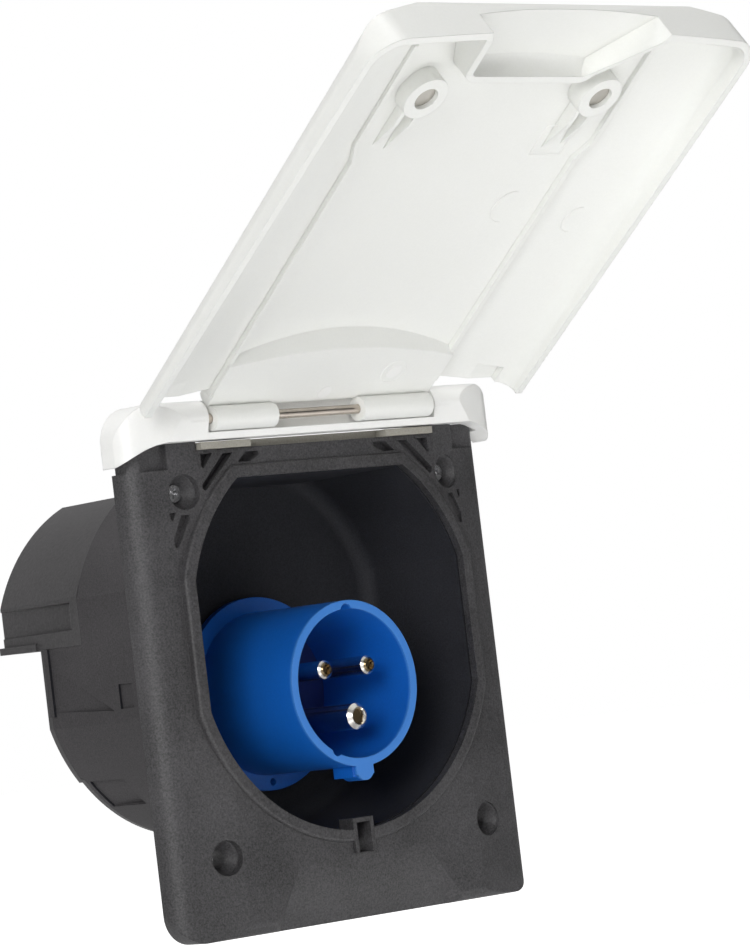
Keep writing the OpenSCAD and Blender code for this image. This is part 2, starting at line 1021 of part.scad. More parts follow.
// Hollow of the finger scoop: its floor follows the crown and rises to the free end
module scoop_form() {
  r = 5;
  slope = tan(scoop_tilt);
  cs = scoop_s + 0.2 + r;
  ct = scoop_t - 0.6 - slope * (lid_len - cs) + r / cos(scoop_tilt);
  ls = cs + r * sin(scoop_tilt);
  lt = ct - r * cos(scoop_tilt);
  intersection() {
    lid_plan(-9, 25)
      scoop_plan(0);
    translate([0, scoop_t, -lid_len])
      rotate([scoop_tilt, 0, 0])
        translate([0, crown_r, -20])
          cylinder(r = crown_r, h = 60);
    lid_across(70)
      union() {
        polygon([[cs - r, 30], [cs - r, ct], [cs, ct], [ls, lt], [170, lt + slope * (170 - ls)], [170, 30]]);
        translate([cs, ct])
          circle(r = r * over);
      }
  }
}

module lid_rib(side) {
  half = 0.7;
  mirror([side, 0, 0])
    lid_plan(-9, -3)
      polygon([[39 - half, 5], [39 + half, 5], [39 + half, 87], [41.6 + half, 93], [41.6 + half, 126], [41.6 - half, 126],
               [41.6 - half, 93], [39 - half, 87]]);
}

module lid() {
  color([0.95, 0.95, 0.935])
    lid_stand()
      difference() {
        union() {
          difference() {
            lid_form(0, 4.1);
            // Inside of the shell, open at the hinge edge
            intersection() {
              lid_along(-6, 151)
                mirror([0, 1])
                  bowed(lid_half_w + 0.3 - lid_wall, crown_r - lid_wall, lid_top - lid_wall, lid_edge_r - lid_wall,
                        -44);
              lid_plan(-31, 55)
                bowed(lid_half_w - lid_wall, end_r - lid_wall, lid_len - lid_wall, end_corner - lid_wall, -11);
              lid_across(81)
                lid_side(lid_wall, 60);
            }
            for (side = [0, 1])
              mirror([side, 0, 0])
                box([neck_x, -20, -edge_s], [80, 20, 10]);
            // The neck has no wall under its pad
            box([-60, pad_t - gap, -12], [60, 30, 10]);
          }
          // Pad behind the hinge with a sloping crescent step
          intersection() {
            lid_form(0.4, 4.1);
            box([-pad_x, -9, -40], [pad_x, pad_t, 0]);
            translate([0, pad_t, 147.5])
              rotate([90, 0, 0])
                cylinder(r1 = 168.5, r2 = 173.7, h = 8);
            union() {
              box([-neck_x, -12, -40], [neck_x, 2, 10]);
              box([-pad_x, -12, -40], [pad_x, 2, -edge_s]);
            }
          }
          // Knuckles
          for (k = knuckles) {
            translate([k[0], 0, 0])
              rotate([0, 90, 0])
                cylinder(r = knuckle_r, h = k[1] - k[0]);
            box([k[0], -knuckle_r, -9], [k[1], pad_t - gap, 0]);
          }
          intersection() {
            lid_form(0.4, 4.1);
            for (side = [0, 1])
              union() {
                lid_rib(side);
                mirror([side, 0, 0]) {
                  translate([boss_x, boss_t, -boss_s])
                    rotate([90, 0, 0])
                      cylinder(r = boss_r, h = 9);
                  for (dx = [-2.6, 2.6])
                    lid_across_rib(boss_x + dx);
                }
              }
          }
          // Wall of the finger scoop
          intersection() {
            lid_form(0.02, 4.1);
            lid_plan(-8.8, 20)
              scoop_plan(2);
            lid_across(52)
              polygon([[108, -9.6], [108, scoop_rim], [scoop_s + 0.6, scoop_rim], [156, scoop_rim + 15.6],
                       [156, -9.6]]);
          }
        }
        scoop_form();
        // Bore for the hinge pin
        translate([-60, 0, 0])
          rotate([0, 90, 0])
            cylinder(r = pin_r + gap, h = 120);
        for (side = [0, 1])
          mirror([side, 0, 0])
            translate([boss_x, boss_t + 1, -boss_s])
              rotate([90, 0, 0])
                cylinder(r = magnet_r + gap, h = 1 + magnet_t + gap);
      }
}

// One sloping rib that stiffens a magnet boss
module lid_across_rib(x) {
  translate([x - 0.7, 0, 0])
    rotate([0, 90, 0])
      linear_extrude(1.4)
        polygon([[88.5, -9], [88.5, -6], [100, -2.6], [boss_s, -2.2], [boss_s, -9]]);
}

// A magnet disc in one boss
module magnet(side) {
  color([0.74, 0.72, 0.68])
    lid_stand()
      translate([side * boss_x, boss_t - 1.2, -boss_s])
        rotate([90, 0, 0])
          cylinder(r = magnet_r, h = magnet_t - 1.2);
}

module magnet_left() {
  magnet(-1);
}

module magnet_right() {
  magnet(1);
}

front_frame();
catch_insert();
tub();
rear_cap();
back_plate();
hood();
hood_seal();
hinge_pin();
hood_screw_left();
hood_screw_right();
keeper_left();
keeper_right();
tub_screws();
cap_screws();
plate_screws();
inlet_shroud();
inlet_gasket();
lock_nut();
contact_carrier();
pin_line();
pin_neutral();
pin_earth();
terminal_screw_line();
terminal_screw_neutral();
terminal_screw_earth();
lid();
magnet_left();
magnet_right();
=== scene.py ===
"""Dresses a flush panel power inlet: dark moulded housing, white hood and lid, blue shroud, plated contacts."""

import math

import bpy
from mathutils import Matrix, Vector


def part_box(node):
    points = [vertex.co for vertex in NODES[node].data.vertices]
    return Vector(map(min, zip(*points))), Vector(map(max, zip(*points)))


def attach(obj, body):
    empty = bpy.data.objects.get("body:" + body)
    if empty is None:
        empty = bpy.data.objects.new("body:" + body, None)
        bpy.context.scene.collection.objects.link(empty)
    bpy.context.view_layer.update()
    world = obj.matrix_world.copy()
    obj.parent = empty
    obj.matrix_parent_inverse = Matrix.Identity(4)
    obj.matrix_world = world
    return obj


bl_info = {
    "name": "Panel inlet dressing",
    "version": (1, 0, 0),
    "blender": (4, 5, 0),
    "location": "3D View > Sidebar > Inlet",
    "description": "Finishes for a flush panel power inlet with a hinged lid",
    "category": "Object",
}

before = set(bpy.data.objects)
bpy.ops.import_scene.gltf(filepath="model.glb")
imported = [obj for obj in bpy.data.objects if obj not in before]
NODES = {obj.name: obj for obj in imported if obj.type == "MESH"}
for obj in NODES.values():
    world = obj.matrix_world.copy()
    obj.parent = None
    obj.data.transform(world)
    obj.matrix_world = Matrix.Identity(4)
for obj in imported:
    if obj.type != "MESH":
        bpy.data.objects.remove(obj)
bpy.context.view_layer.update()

# The lid at rest: its hinge axis, from the pin's box, and how far it stands open
PIN_LOW, PIN_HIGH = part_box("hinge_pin")
HINGE = (PIN_LOW + PIN_HIGH) / 2
LID_OPEN = math.radians(127.87)

# Corner slots of the front frame, x and z in millimetres on one side, each a little larger than its slot
SLOT_OUTLINES = (
    ((36.0, 50.0), (40.5, 50.0), (40.6, 46.2), (39.5, 45.6)),
    ((28.9, 49.8), (32.8, 49.8), (41.1, 41.7), (40.7, 40.0), (39.5, 39.8)),
    ((20.1, 49.8), (24.9, 49.8), (28.2, 46.9), (24, 46.5), (20.0, 48.3)),
    ((49.4, 35.4), (51.8, 35.4), (51.7, 33.4), (50.7, 32.7)),
    ((45.5, 34.5), (48.3, 34.6), (51.3, 28.6), (51.2, 25.8), (49.8, 25.8), (45.5, 33.0)))
WEB_THICKNESS = 0.0005

# Marks on the lid's underside: x across, distance from the hinge, kind and size
DISC, RING, PLATE = 0, 1, 2
LID_MARKS = (
    (0.0, 0.0048, DISC, 0.75), (0.021, 0.0112, DISC, 0.85), (0.021, 0.0112, RING, 0.8),
    (0.029, 0.068, RING, 1.1), (0.0525, 0.066, RING, 0.9), (0.0285, 0.0925, PLATE, 1.0))
MARK_CLEARANCE = 0.011  # off the underside, from where each mark is dropped
LINE_SHARE = 0.75  # thickness of a mark's line, as a share of a disc's height

# Sockets of a Mix node that mixes colours, which have no names of their own
MIX_A, MIX_B, MIX_RESULT = 6, 7, 2

# Camera: its bearing in degrees, the point it looks at, its distance from there, and its shift in sensor widths
CAMERA_AZIMUTH, CAMERA_ELEVATION, CAMERA_ROLL = -42.31, -2.50, -6.84
CAMERA_TARGET = Vector((0.02013, -0.00975, 0.04099))
CAMERA_DISTANCE = 1.21163
CAMERA_SHIFT = (-0.00107595, -0.00050633)
SENSOR_WIDTH = 36.0

# Stage
FLOOR_REACH = 6.0
FLOOR_GLOW = 0.76  # seen by the camera only, so the floor looks white and throws no light
BRIGHT_SIDE = (-0.45, 0.75, 0.5)  # where most of the daylight comes from
SIDE_SPREAD = 0.6


# ---------------------------------------------------------------- settings


class InletHousingSettings(bpy.types.PropertyGroup):
    """Looks of the dark mouldings."""

    frame_colour: bpy.props.FloatVectorProperty(
        name="Frame", description="Colour of the front frame", default=(0.045, 0.0435, 0.046),
        subtype="COLOR", size=3, min=0, max=1)
    bowl_shade_colour: bpy.props.FloatVectorProperty(
        name="Tub", description="Colour of the tub's inside, darkened to stand for the shade in it",
        default=(0.021, 0.0215, 0.026),
        subtype="COLOR", size=3, min=0, max=1)
    skirt_colour: bpy.props.FloatVectorProperty(
        name="Skirt", description="Colour of the tub's outside", default=(0.052, 0.0495, 0.052),
        subtype="COLOR", size=3, min=0, max=1)
    rear_colour: bpy.props.FloatVectorProperty(
        name="Rear", description="Colour of the rear cap and plate", default=(0.047, 0.045, 0.047),
        subtype="COLOR", size=3, min=0, max=1)
    grain: bpy.props.FloatProperty(
        name="Grain", description="Size of the spark grain", default=0.00052, unit="LENGTH", min=0.0001, max=0.01)
    edge: bpy.props.FloatProperty(
        name="Edge", description="Radius that moulded edges appear to have", default=0.0004, unit="LENGTH",
        min=0, max=0.002)
    web_depth: bpy.props.FloatProperty(
        name="Web depth", description="Depth of the closed slots behind the frame's front", default=0.0033,
        unit="LENGTH", min=0.001, max=0.01)


class InletLidSettings(bpy.types.PropertyGroup):
    """Looks of the white mouldings and the marks inside the lid."""

    lid_colour: bpy.props.FloatVectorProperty(
        name="Lid", description="Colour of the lid", default=(0.84, 0.845, 0.815),
        subtype="COLOR", size=3, min=0, max=1)
    hood_colour: bpy.props.FloatVectorProperty(
        name="Hood", description="Colour of the hood", default=(0.89, 0.89, 0.87),
        subtype="COLOR", size=3, min=0, max=1)
    mark_radius: bpy.props.FloatProperty(
        name="Mark radius", description="Radius of an ejector mark", default=0.0028, unit="LENGTH", min=0.0005,
        max=0.01)
    mark_height: bpy.props.FloatProperty(
        name="Mark height", description="How far an ejector mark stands proud", default=0.00012, unit="LENGTH",
        min=0.00001, max=0.001)


class InletCoreSettings(bpy.types.PropertyGroup):
    """Looks of the blue inlet and its contacts."""

    shroud_colour: bpy.props.FloatVectorProperty(
        name="Shroud", description="Colour of the shroud", default=(0.005, 0.115, 0.5),
        subtype="COLOR", size=3, min=0, max=1)
    # The mouth's paler colour is painted light on the thin rim, not a paler plastic.
    mouth_light_colour: bpy.props.FloatVectorProperty(
        name="Mouth", description="Colour of the shroud's thin mouth", default=(0.045, 0.21, 0.62),
        subtype="COLOR", size=3, min=0, max=1)
    carrier_colour: bpy.props.FloatVectorProperty(
        name="Carrier", description="Colour of the contact carrier", default=(0.01, 0.026, 0.14),
        subtype="COLOR", size=3, min=0, max=1)
    plate_colour: bpy.props.FloatVectorProperty(
        name="Plating", description="Colour of the contacts' plating", default=(0.78, 0.76, 0.72),
        subtype="COLOR", size=3, min=0, max=1)
    # The dark brown in the contacts' dimples is a painted reflection, not brass.
    tip_reflection_colour: bpy.props.FloatVectorProperty(
        name="Tip", description="Colour of the brass in the contacts' dimples", default=(0.2, 0.15, 0.085),
        subtype="COLOR", size=3, min=0, max=1)


class InletStageSettings(bpy.types.PropertyGroup):
    """Floor, light and camera."""

    floor_z: bpy.props.FloatProperty(
        name="Floor", description="Height of the floor", default=-0.16, unit="LENGTH")
    lens: bpy.props.FloatProperty(
        name="Lens", description="Focal length of the camera", default=171.57, subtype="DISTANCE_CAMERA")
    daylight: bpy.props.FloatProperty(
        name="Daylight", description="Strength of the brightest light from the room", default=0.42, min=0, max=3)
    front_dim: bpy.props.FloatProperty(
        name="Front dimming", description="Share of the daylight that comes from in front", default=0.12,
        subtype="FACTOR", min=0, max=1)


# ---------------------------------------------------------------- node helpers


def set_inputs(node, values):
    for name, value in values.items():
        node.inputs[name].default_value = value


def wire(tree, kind, values=None, links=None, **settings):
    """Adds a node, sets its settings and input values and links its inputs."""
    node = tree.nodes.new(kind)
    for name, value in settings.items():
        setattr(node, name, value)
    set_inputs(node, values or {})
    for name, source in (links or {}).items():
        tree.links.new(source, node.inputs[name])
    return node


def group_tree(name, inputs, outputs):
    """A shader group with named float or colour sockets."""
    tree = bpy.data.node_groups.new(name, "ShaderNodeTree")
    for label, kind, default in inputs:
        socket = tree.interface.new_socket(label, in_out="INPUT", socket_type="NodeSocket" + kind)
        socket.default_value = default
    for label, kind in outputs:
        tree.interface.new_socket(label, in_out="OUTPUT", socket_type="NodeSocket" + kind)
    return tree, tree.nodes.new("NodeGroupInput"), tree.nodes.new("NodeGroupOutput")


def object_coords(tree):
    return tree.nodes.new("ShaderNodeTexCoord").outputs["Object"]


def moulded_skin():
    """Spark-eroded plastic: fine pits, a slow drift of colour, and a gloss that varies with the drift."""
    name = "moulded_skin"
    if name in bpy.data.node_groups:
        return bpy.data.node_groups[name]
    tree, gin, gout = group_tree(
        name,
        [("Color", "Color", (0.5, 0.5, 0.5, 1)), ("Grain Scale", "Float", 1800.0), ("Speckle", "Float", 0.12),
         ("Roughness", "Float", 0.5), ("Roughness Drift", "Float", 0.08)],
        [("Color", "Color"), ("Roughness", "Float"), ("Height", "Float")])
    co = object_coords(tree)
    fine = wire(tree, "ShaderNodeTexNoise", {"Detail": 3.0, "Roughness": 0.62},
                {"Vector": co, "Scale": gin.outputs["Grain Scale"]})
    half = wire(tree, "ShaderNodeMath", {1: 0.45}, {0: gin.outputs["Grain Scale"]}, operation="MULTIPLY")
    pits = wire(tree, "ShaderNodeTexVoronoi", {"Randomness": 1.0}, {"Vector": co, "Scale": half.outputs[0]},
                feature="SMOOTH_F1")
    slow = wire(tree, "ShaderNodeTexNoise", {"Scale": 38.0, "Detail": 4.0, "Roughness": 0.55}, {"Vector": co})
    height = wire(tree, "ShaderNodeMath", {1: 0.55}, {0: pits.outputs["Distance"], 2: fine.outputs["Fac"]},
                  operation="MULTIPLY_ADD")
    spread = wire(tree, "ShaderNodeMapRange", {"From Min": 0.3, "From Max": 0.7, "To Min": -1.0, "To Max": 1.0},
                  {"Value": fine.outputs["Fac"]})
    drift = wire(tree, "ShaderNodeMapRange", {"From Min": 0.3, "From Max": 0.7, "To Min": -0.5, "To Max": 0.5},
                 {"Value": slow.outputs["Fac"]})
    both = wire(tree, "ShaderNodeMath", None, {0: spread.outputs[0], 1: drift.outputs[0]}, operation="ADD")
    amount = wire(tree, "ShaderNodeMath", {2: 1.0}, {0: both.outputs[0], 1: gin.outputs["Speckle"]},
                  operation="MULTIPLY_ADD")
    tint = wire(tree, "ShaderNodeVectorMath", None, {0: gin.outputs["Color"], 1: amount.outputs[0]},
                operation="MULTIPLY")
    rough = wire(tree, "ShaderNodeMath", None,
                 {0: drift.outputs[0], 1: gin.outputs["Roughness Drift"], 2: gin.outputs["Roughness"]},
                 operation="MULTIPLY_ADD")
    tree.links.new(tint.outputs[0], gout.inputs["Color"])
    tree.links.new(rough.outputs[0], gout.inputs["Roughness"])
    tree.links.new(height.outputs[0], gout.inputs["Height"])
    return tree


def turned_metal():
    """Fine lines that cross Y, which are lathe rings where a piece lies along Y, and a slow smear of gloss."""
    name = "turned_metal"
    if name in bpy.data.node_groups:
        return bpy.data.node_groups[name]
    tree, gin, gout = group_tree(
        name,
        [("Color", "Color", (0.7, 0.7, 0.7, 1)), ("Ring Scale", "Float", 9000.0), ("Roughness", "Float", 0.25)],
        [("Color", "Color"), ("Roughness", "Float"), ("Height", "Float")])
    co = object_coords(tree)
    stretched = wire(tree, "ShaderNodeVectorMath", {1: (0.06, 1.0, 0.06)}, {0: co}, operation="MULTIPLY")
    rings = wire(tree, "ShaderNodeTexNoise", {"Detail": 3.0, "Roughness": 0.7},
                 {"Vector": stretched.outputs[0], "Scale": gin.outputs["Ring Scale"]})
    smear = wire(tree, "ShaderNodeTexNoise", {"Scale": 240.0, "Detail": 4.0}, {"Vector": co})
    shade = wire(tree, "ShaderNodeMapRange", {"From Min": 0.3, "From Max": 0.7, "To Min": 0.9, "To Max": 1.05},
                 {"Value": smear.outputs["Fac"]})
    tint = wire(tree, "ShaderNodeVectorMath", None, {0: gin.outputs["Color"], 1: shade.outputs[0]},
                operation="MULTIPLY")
    rough = wire(tree, "ShaderNodeMath", {1: 0.16}, {0: smear.outputs["Fac"], 2: gin.outputs["Roughness"]},
                 operation="MULTIPLY_ADD")
    lower = wire(tree, "ShaderNodeMath", {1: 0.08}, {0: rough.outputs[0]}, operation="SUBTRACT")
    tree.links.new(tint.outputs[0], gout.inputs["Color"])
    tree.links.new(lower.outputs[0], gout.inputs["Roughness"])
    tree.links.new(rings.outputs["Fac"], gout.inputs["Height"])
    return tree


def flow_shade():
    """Faint light and dark patches that a moulding shows where the melt met."""
    name = "flow_shade"
    if name in bpy.data.node_groups:
        return bpy.data.node_groups[name]
    tree, gin, gout = group_tree(
        name, [("Color", "Color", (0.5, 0.5, 0.5, 1)), ("Amount", "Float", 0.05), ("Scale", "Float", 14.0)],
        [("Color", "Color")])
    co = object_coords(tree)
    flow = wire(tree, "ShaderNodeTexNoise", {"Detail": 5.0, "Roughness": 0.5, "Distortion": 1.2},
                {"Vector": co, "Scale": gin.outputs["Scale"]})
    centred = wire(tree, "ShaderNodeMath", {1: 0.5}, {0: flow.outputs["Fac"]}, operation="SUBTRACT")
    factor = wire(tree, "ShaderNodeMath", {2: 1.0}, {0: centred.outputs[0], 1: gin.outputs["Amount"]},
                  operation="MULTIPLY_ADD")
    tint = wire(tree, "ShaderNodeVectorMath", None, {0: gin.outputs["Color"], 1: factor.outputs[0]},
                operation="MULTIPLY")
    tree.links.new(tint.outputs[0], gout.inputs["Color"])
    return tree


def new_material(name):
    material = bpy.data.materials.new(name)
    material.use_nodes = True
    tree = material.node_tree
    return material, tree, tree.nodes["Principled BSDF"]


def use_group(tree, group, values):
    node = tree.nodes.new("ShaderNodeGroup")
    node.node_tree = group
    set_inputs(node, values)
    return node


def rgba(colour):
    return (colour[0], colour[1], colour[2], 1.0)


def moulded_material(name, colour, grain, depth, roughness, speckle=0.1, coat=0.0, flow=0.05, subsurface=0.0,
                     specular=0.5, soft_edges=True):
    """A moulded plastic from the shared skin, with its own colour, grain and gloss, and softened edges."""
    material, tree, bsdf = new_material(name)
    patches = use_group(tree, flow_shade(), {"Color": rgba(colour), "Amount": flow})
    skin = use_group(tree, moulded_skin(),
                     {"Grain Scale": 1.0 / grain, "Speckle": speckle, "Roughness": roughness,
                      "Roughness Drift": 0.1})
    tree.links.new(patches.outputs["Color"], skin.inputs["Color"])
    tree.links.new(skin.outputs["Color"], bsdf.inputs["Base Color"])
    tree.links.new(skin.outputs["Roughness"], bsdf.inputs["Roughness"])
    bump = wire(tree, "ShaderNodeBump", {"Strength": 1.0, "Distance": depth}, {"Height": skin.outputs["Height"]})
    if soft_edges:
        edge = wire(tree, "ShaderNodeBevel", {"Radius": bpy.context.scene.inlet_housing.edge}, samples=3)
        tree.links.new(edge.outputs["Normal"], bump.inputs["Normal"])
    tree.links.new(bump.outputs["Normal"], bsdf.inputs["Normal"])
    set_inputs(bsdf, {"Coat Weight": coat, "Coat Roughness": 0.25, "IOR": 1.5, "Specular IOR Level": specular})
    if subsurface:
        set_inputs(bsdf, {"Subsurface Weight": subsurface, "Subsurface Radius": (0.004, 0.004, 0.0035),
                          "Subsurface Scale": 0.5})
    return material


def metal_material(name, colour, roughness, rings=9000.0, depth=0.000004):
    material, tree, bsdf = new_material(name)
    lathe = use_group(tree, turned_metal(), {"Color": rgba(colour), "Ring Scale": rings, "Roughness": roughness})
    tree.links.new(lathe.outputs["Color"], bsdf.inputs["Base Color"])
    tree.links.new(lathe.outputs["Roughness"], bsdf.inputs["Roughness"])
    bump = wire(tree, "ShaderNodeBump", {"Strength": 1.0, "Distance": depth}, {"Height": lathe.outputs["Height"]})
    tree.links.new(bump.outputs["Normal"], bsdf.inputs["Normal"])
    bsdf.inputs["Metallic"].default_value = 1.0
    return material


def blend_in(tree, mask, colour, target):
    """Mixes a second colour into a colour input by a mask, over whatever that input had before."""
    mix = wire(tree, "ShaderNodeMix", {MIX_B: rgba(colour)}, {"Factor": mask}, data_type="RGBA")
    if target.is_linked:
        tree.links.new(target.links[0].from_socket, mix.inputs[MIX_A])
    else:
        mix.inputs[MIX_A].default_value = target.default_value
    tree.links.new(mix.outputs[MIX_RESULT], target)


def geometry_tree(name, inputs):
    """A Geometry Nodes tree with a geometry in and out, and further inputs by label, kind and default."""
    tree = bpy.data.node_groups.new(name, "GeometryNodeTree")
    for label, kind, default in (("Geometry", "Geometry", None),) + inputs:
        socket = tree.interface.new_socket(label, in_out="INPUT", socket_type="NodeSocket" + kind)
        if default is not None:
            socket.default_value = default
    tree.interface.new_socket("Geometry", in_out="OUTPUT", socket_type="NodeSocketGeometry")
    return tree, tree.nodes.new("NodeGroupInput"), tree.nodes.new("NodeGroupOutput")


def dress(node, material):
    """Gives one CAD node its material."""
    slots = NODES[node].material_slots
    if not slots:
        NODES[node].data.materials.append(material)
    for slot in slots:
        slot.link = "OBJECT"
        slot.material = material


# ---------------------------------------------------------------- operators


class INLET_OT_front_frame(bpy.types.Operator):
    """Spark-grained finish of the front frame and its catch insert"""

    bl_idname = "inlet.front_frame"
    bl_label = "Finish front frame"

    def execute(self, context):
        look = context.scene.inlet_housing
        material = moulded_material("frame_grain", look.frame_colour, look.grain, 0.00009, 0.5, speckle=0.6)
        dress("front_frame", material)
        dress("catch_insert", material)
        return {"FINISHED"}


def web_tree():
    """Geometry Nodes: thickens flat outlines into webs and repeats them on the other side."""
    tree, gin, gout = geometry_tree(
        "slot_webs", (("Thickness", "Float", WEB_THICKNESS), ("Material", "Material", None)))
    depth = wire(tree, "ShaderNodeCombineXYZ", None, {"Y": gin.outputs["Thickness"]})
    raised = wire(tree, "GeometryNodeExtrudeMesh", None, {"Mesh": gin.outputs["Geometry"],
                                                          "Offset": depth.outputs[0]})
    base = wire(tree, "GeometryNodeFlipFaces", None, {"Mesh": gin.outputs["Geometry"]})
    webs = tree.nodes.new("GeometryNodeJoinGeometry")
    tree.links.new(raised.outputs["Mesh"], webs.inputs["Geometry"])
    tree.links.new(base.outputs["Mesh"], webs.inputs["Geometry"])
    closed = wire(tree, "GeometryNodeMergeByDistance", {"Distance": 0.00001}, {"Geometry": webs.outputs["Geometry"]})
    other = wire(tree, "GeometryNodeTransform", {"Scale": (-1, 1, 1)}, {"Geometry": closed.outputs["Geometry"]})
    turned = wire(tree, "GeometryNodeFlipFaces", None, {"Mesh": other.outputs["Geometry"]})
    pair = tree.nodes.new("GeometryNodeJoinGeometry")
    tree.links.new(closed.outputs["Geometry"], pair.inputs["Geometry"])
    tree.links.new(turned.outputs["Mesh"], pair.inputs["Geometry"])
    real = wire(tree, "GeometryNodeRealizeInstances", None, {"Geometry": pair.outputs["Geometry"]})
    done = wire(tree, "GeometryNodeSetMaterial", None,
                {"Geometry": real.outputs["Geometry"], "Material": gin.outputs["Material"]})
    tree.links.new(done.outputs["Geometry"], gout.inputs["Geometry"])
    return tree


def evaluated_mesh(start, tree, values, name):
    """Runs a Geometry Nodes tree on an object and keeps its result as a plain mesh object."""
    modifier = start.modifiers.new("grow", "NODES")
    modifier.node_group = tree
    sockets = {item.name: item.identifier for item in tree.interface.items_tree if item.in_out == "INPUT"}
    for label, value in values.items():
        modifier[sockets[label]] = value
    graph = bpy.context.evaluated_depsgraph_get()
    mesh = bpy.data.meshes.new_from_object(start.evaluated_get(graph), depsgraph=graph)
    mesh.name = name
    bpy.data.objects.remove(start)
    if not mesh.polygons:
        raise RuntimeError(name + ": nothing was made")
    piece = bpy.data.objects.new(name, mesh)
    bpy.context.scene.collection.objects.link(piece)
    return piece


class INLET_OT_slot_webs(bpy.types.Operator):
    """Thin webs behind the front frame's corner slots, which its solid leaves open. They are a guess"""

    bl_idname = "inlet.slot_webs"
    bl_label = "Close corner slots"

    def execute(self, context):
        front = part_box("front_frame")[0].y + context.scene.inlet_housing.web_depth
        points, faces = [], []
        for outline in SLOT_OUTLINES:
            faces.append(tuple(range(len(points), len(points) + len(outline))))
            points.extend((x / 1000, front, z / 1000) for x, z in outline)
        flat = bpy.data.meshes.new("slot_outlines")
        flat.from_pydata(points, [], faces)
        start = bpy.data.objects.new("slot_outlines", flat)
        context.scene.collection.objects.link(start)
        piece = evaluated_mesh(
            start, web_tree(), {"Thickness": WEB_THICKNESS, "Material": bpy.data.materials["frame_grain"]},
            "slot_webs")
        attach(piece, "housing")
        return {"FINISHED"}


def paint_bowl_shade(material, colour):
    """Darkens the faces that look towards the tub's axis or forwards. It stands for shade, not a second plastic."""
    tree = material.node_tree
    patches = next(node for node in tree.nodes if node.type == "GROUP" and "Amount" in node.inputs)
    texture = tree.nodes.new("ShaderNodeTexCoord")
    out = wire(tree, "ShaderNodeVectorMath", {1: (1, 0, 1)}, {0: texture.outputs["Object"]}, operation="MULTIPLY")
    facing = wire(tree, "ShaderNodeVectorMath", None, {0: out.outputs[0], 1: texture.outputs["Normal"]},
                  operation="DOT_PRODUCT")
    inward = wire(tree, "ShaderNodeMath", {1: -0.002}, {0: facing.outputs["Value"]}, operation="LESS_THAN")
    turned = wire(tree, "ShaderNodeSeparateXYZ", None, {0: texture.outputs["Normal"]})
    forward = wire(tree, "ShaderNodeMath", {1: -0.5}, {0: turned.outputs["Y"]}, operation="LESS_THAN")
    either = wire(tree, "ShaderNodeMath", None, {0: inward.outputs[0], 1: forward.outputs[0]}, operation="MAXIMUM")
    blend_in(tree, either.outputs[0], colour, patches.inputs["Color"])


class INLET_OT_tub(bpy.types.Operator):
    """Fine finish of the tub, with painted shade darkening the inside of its bowl"""

    bl_idname = "inlet.tub"
    bl_label = "Finish tub"

    def execute(self, context):
        look = context.scene.inlet_housing
        material = moulded_material("tub_skin", look.skirt_colour, look.grain * 0.8, 0.00004, 0.68, speckle=0.3,
                                    specular=0.25, soft_edges=False)
        # Painted shade: a darker colour on the faces inside the bowl that look inwards or forwards
        paint_bowl_shade(material, look.bowl_shade_colour)
        dress("tub", material)
        return {"FINISHED"}


class INLET_OT_rear(bpy.types.Operator):
    """Finish of the rear cap and back plate"""

    bl_idname = "inlet.rear"
    bl_label = "Finish rear"

    def execute(self, context):
        look = context.scene.inlet_housing
        material = moulded_material("rear_skin", look.rear_colour, look.grain * 1.2, 0.00006, 0.45, speckle=0.3)
        dress("rear_cap", material)
        dress("back_plate", material)
        return {"FINISHED"}


class INLET_OT_hood(bpy.types.Operator):
    """White finish of the hood and the grey seal under it"""

    bl_idname = "inlet.hood"
    bl_label = "Finish hood"

    def execute(self, context):
        look = context.scene.inlet_lid
        dress("hood", moulded_material("hood_white", look.hood_colour, 0.0006, 0.000015, 0.36, speckle=0.012,
                                       coat=0.15, flow=0.02, subsurface=0.05))
        dress("hood_seal", moulded_material("seal_grey", (0.33, 0.315, 0.275), 0.0004, 0.00005, 0.75, speckle=0.12,
                                            soft_edges=False))
        return {"FINISHED"}


def lid_point(x, away, off):
    """A point of the open lid: x across, away from the hinge along the lid, off its underside, in metres."""
    turn = Matrix.Rotation(-LID_OPEN, 3, "X")
    return turn @ Vector((x, off, -away)) + HINGE


